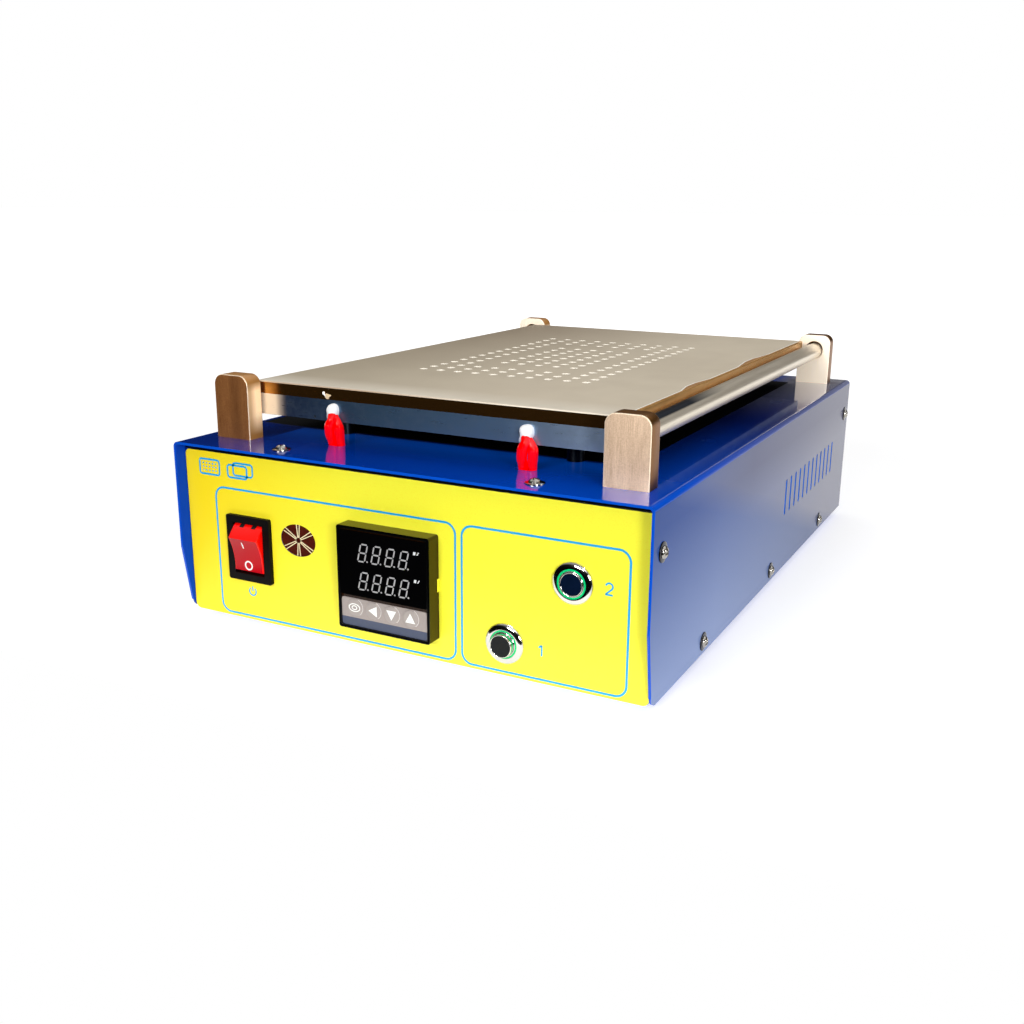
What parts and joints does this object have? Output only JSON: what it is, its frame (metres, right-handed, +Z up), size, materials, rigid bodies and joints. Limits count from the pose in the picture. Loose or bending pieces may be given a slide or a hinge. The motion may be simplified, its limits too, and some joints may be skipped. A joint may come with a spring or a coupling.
{
  "type": "vacuum screen separator",
  "caption": "Bench vacuum separator for phone screens: a heated suction plate between guide rods on a blue sheet-metal case with a temperature controller, switch and buttons.",
  "frame": {"origin": "on the bench under the middle of the machine", "axes": "+X right as seen from the front panel, +Y from the panel to the back, +Z up"},
  "size_m": [0.2462, 0.3628, 0.1205],
  "materials": {
    "blue_paint": "glossy royal blue powder coat on folded steel sheet",
    "yellow_film": "printed yellow overlay film",
    "screw_steel": "bright zinc-plated steel",
    "foot_rubber": "matt black rubber",
    "gold_anodised": "satin champagne-gold anodised aluminium",
    "bare_aluminium": "fine-milled bare aluminium",
    "rod_chrome": "hard-chromed ground rod",
    "sealant": "white cured sealant",
    "lead_silicone": "glossy red silicone sleeve",
    "bush_rubber": "black rubber bushing",
    "probe_steel": "braided steel probe lead",
    "brass": "turned brass",
    "hose_silicone": "milky silicone hose",
    "black_gloss": "glossy black moulded plastic",
    "lens_plastic": "smoked display window",
    "circuit_board": "green solder mask",
    "key_grey": "grey-beige keypad film",
    "key_white": "pale key caps",
    "dark_plastic": "matt black moulded plastic",
    "bracket_yellow": "orange mounting bracket",
    "rocker_red": "translucent red rocker",
    "button_chrome": "polished nickel-plated brass",
    "ring_green": "translucent green ring",
    "cream_plastic": "cream moulded grille",
    "buzzer_maroon": "dark maroon buzzer case",
    "relay_cream": "cream relay housing",
    "strip_brown": "dark brown phenolic strip",
    "wire_brown": "brown insulated wire",
    "motor_steel": "zinc-plated motor can",
    "pump_grey": "glass-filled dark plastic",
    "cap_white": "white moulded pump cap",
    "fuse_glass": "glass fuse with metal caps"
  },
  "bodies": {
    "machine": {"chassis": "blue_paint", "top_cover": "blue_paint", "front_overlay": "yellow_film", "cover_screws": "screw_steel", "small_screws": "screw_steel", "plate_screws": "screw_steel", "upright_screws": "screw_steel", "switch_tabs": "brass", "button_nuts": "screw_steel", "rubber_feet": "foot_rubber", "pump_feet": "foot_rubber", "vacuum_plate": "gold_anodised", "post_front_left": "gold_anodised", "post_front_right": "gold_anodised", "post_rear_left": "gold_anodised", "post_rear_right": "gold_anodised", "heater_block": "bare_aluminium", "plate_pillars": "bare_aluminium", "relay_heatsink": "bare_aluminium", "power_supply": "bare_aluminium", "heater_cartridges": "probe_steel", "thermocouple": "probe_steel", "sealant_plugs": "sealant", "heater_leads": "lead_silicone", "lead_bushings": "bush_rubber", "vacuum_barb": "brass", "vacuum_hose": "hose_silicone", "controller_case": "black_gloss", "controller_lens": "lens_plastic", "display_board": "circuit_board", "power_supply_board": "circuit_board", "key_film": "key_grey", "controller_terminals": "dark_plastic", "controller_bracket": "bracket_yellow", "switch_housing": "black_gloss", "button_housings": "button_chrome", "button_rings": "ring_green", "buzzer_grille": "cream_plastic", "buzzer": "buzzer_maroon", "relay": "relay_cream", "terminal_strip": "strip_brown", "mains_wires": "wire_brown", "pump_bracket": "motor_steel", "pump_motor": "motor_steel", "pump_head": "pump_grey", "pump_cap": "cap_white", "inlet": "black_gloss", "inlet_pins": "brass"},
    "rocker": {"power_rocker": "rocker_red"},
    "button_1": {"button_1_cap": "dark_plastic"},
    "button_2": {"button_2_cap": "dark_plastic"},
    "key_1": {"key_set": "key_white"},
    "key_2": {"key_shift": "key_white"},
    "key_3": {"key_down": "key_white"},
    "key_4": {"key_up": "key_white"},
    "rod_left": {"guide_rod_left": "rod_chrome"},
    "rod_right": {"guide_rod_right": "rod_chrome"},
    "pump_rotor": {"pump_shaft": "motor_steel"},
    "drawer": {"fuse_drawer": "black_gloss", "fuse": "fuse_glass"}
  },
  "joints": [
    {"name": "power_switch", "type": "hinge", "parent": "machine", "child": "rocker", "pos_m": [-0.0823, -0.1676, 0.041], "axis": [-1, 0, 0], "range_deg": [0, 26]},
    {"name": "button_1_press", "type": "slide", "parent": "machine", "child": "button_1", "axis": [0, 1, 0], "range_m": [0, 0.0021], "stiffness_N_per_m": 300, "springref_m": -0.003},
    {"name": "button_2_release", "type": "slide", "parent": "machine", "child": "button_2", "axis": [0, -1, 0], "range_m": [0, 0.0021]},
    {"name": "key_set_press", "type": "slide", "parent": "machine", "child": "key_1", "axis": [0, 1, 0], "range_m": [0, 0.0004], "stiffness_N_per_m": 500, "springref_m": -0.001},
    {"name": "key_shift_press", "type": "slide", "parent": "machine", "child": "key_2", "axis": [0, 1, 0], "range_m": [0, 0.0004], "stiffness_N_per_m": 500, "springref_m": -0.001},
    {"name": "key_down_press", "type": "slide", "parent": "machine", "child": "key_3", "axis": [0, 1, 0], "range_m": [0, 0.0004], "stiffness_N_per_m": 500, "springref_m": -0.001},
    {"name": "key_up_press", "type": "slide", "parent": "machine", "child": "key_4", "axis": [0, 1, 0], "range_m": [0, 0.0004], "stiffness_N_per_m": 500, "springref_m": -0.001},
    {"name": "rod_left_roll", "type": "hinge", "parent": "machine", "child": "rod_left", "pos_m": [-0.101, 0.0004, 0.11044], "axis": [0, 1, 0], "continuous": true},
    {"name": "rod_right_roll", "type": "hinge", "parent": "machine", "child": "rod_right", "pos_m": [0.101, 0.0004, 0.11044], "axis": [0, 1, 0], "continuous": true},
    {"name": "pump_spin", "type": "hinge", "parent": "machine", "child": "pump_rotor", "pos_m": [0.062, 0.0459, 0.039], "axis": [0, 1, 0], "continuous": true},
    {"name": "drawer_slide", "type": "slide", "parent": "machine", "child": "drawer", "axis": [0, 1, 0], "range_m": [0, 0.022]}
  ]
}
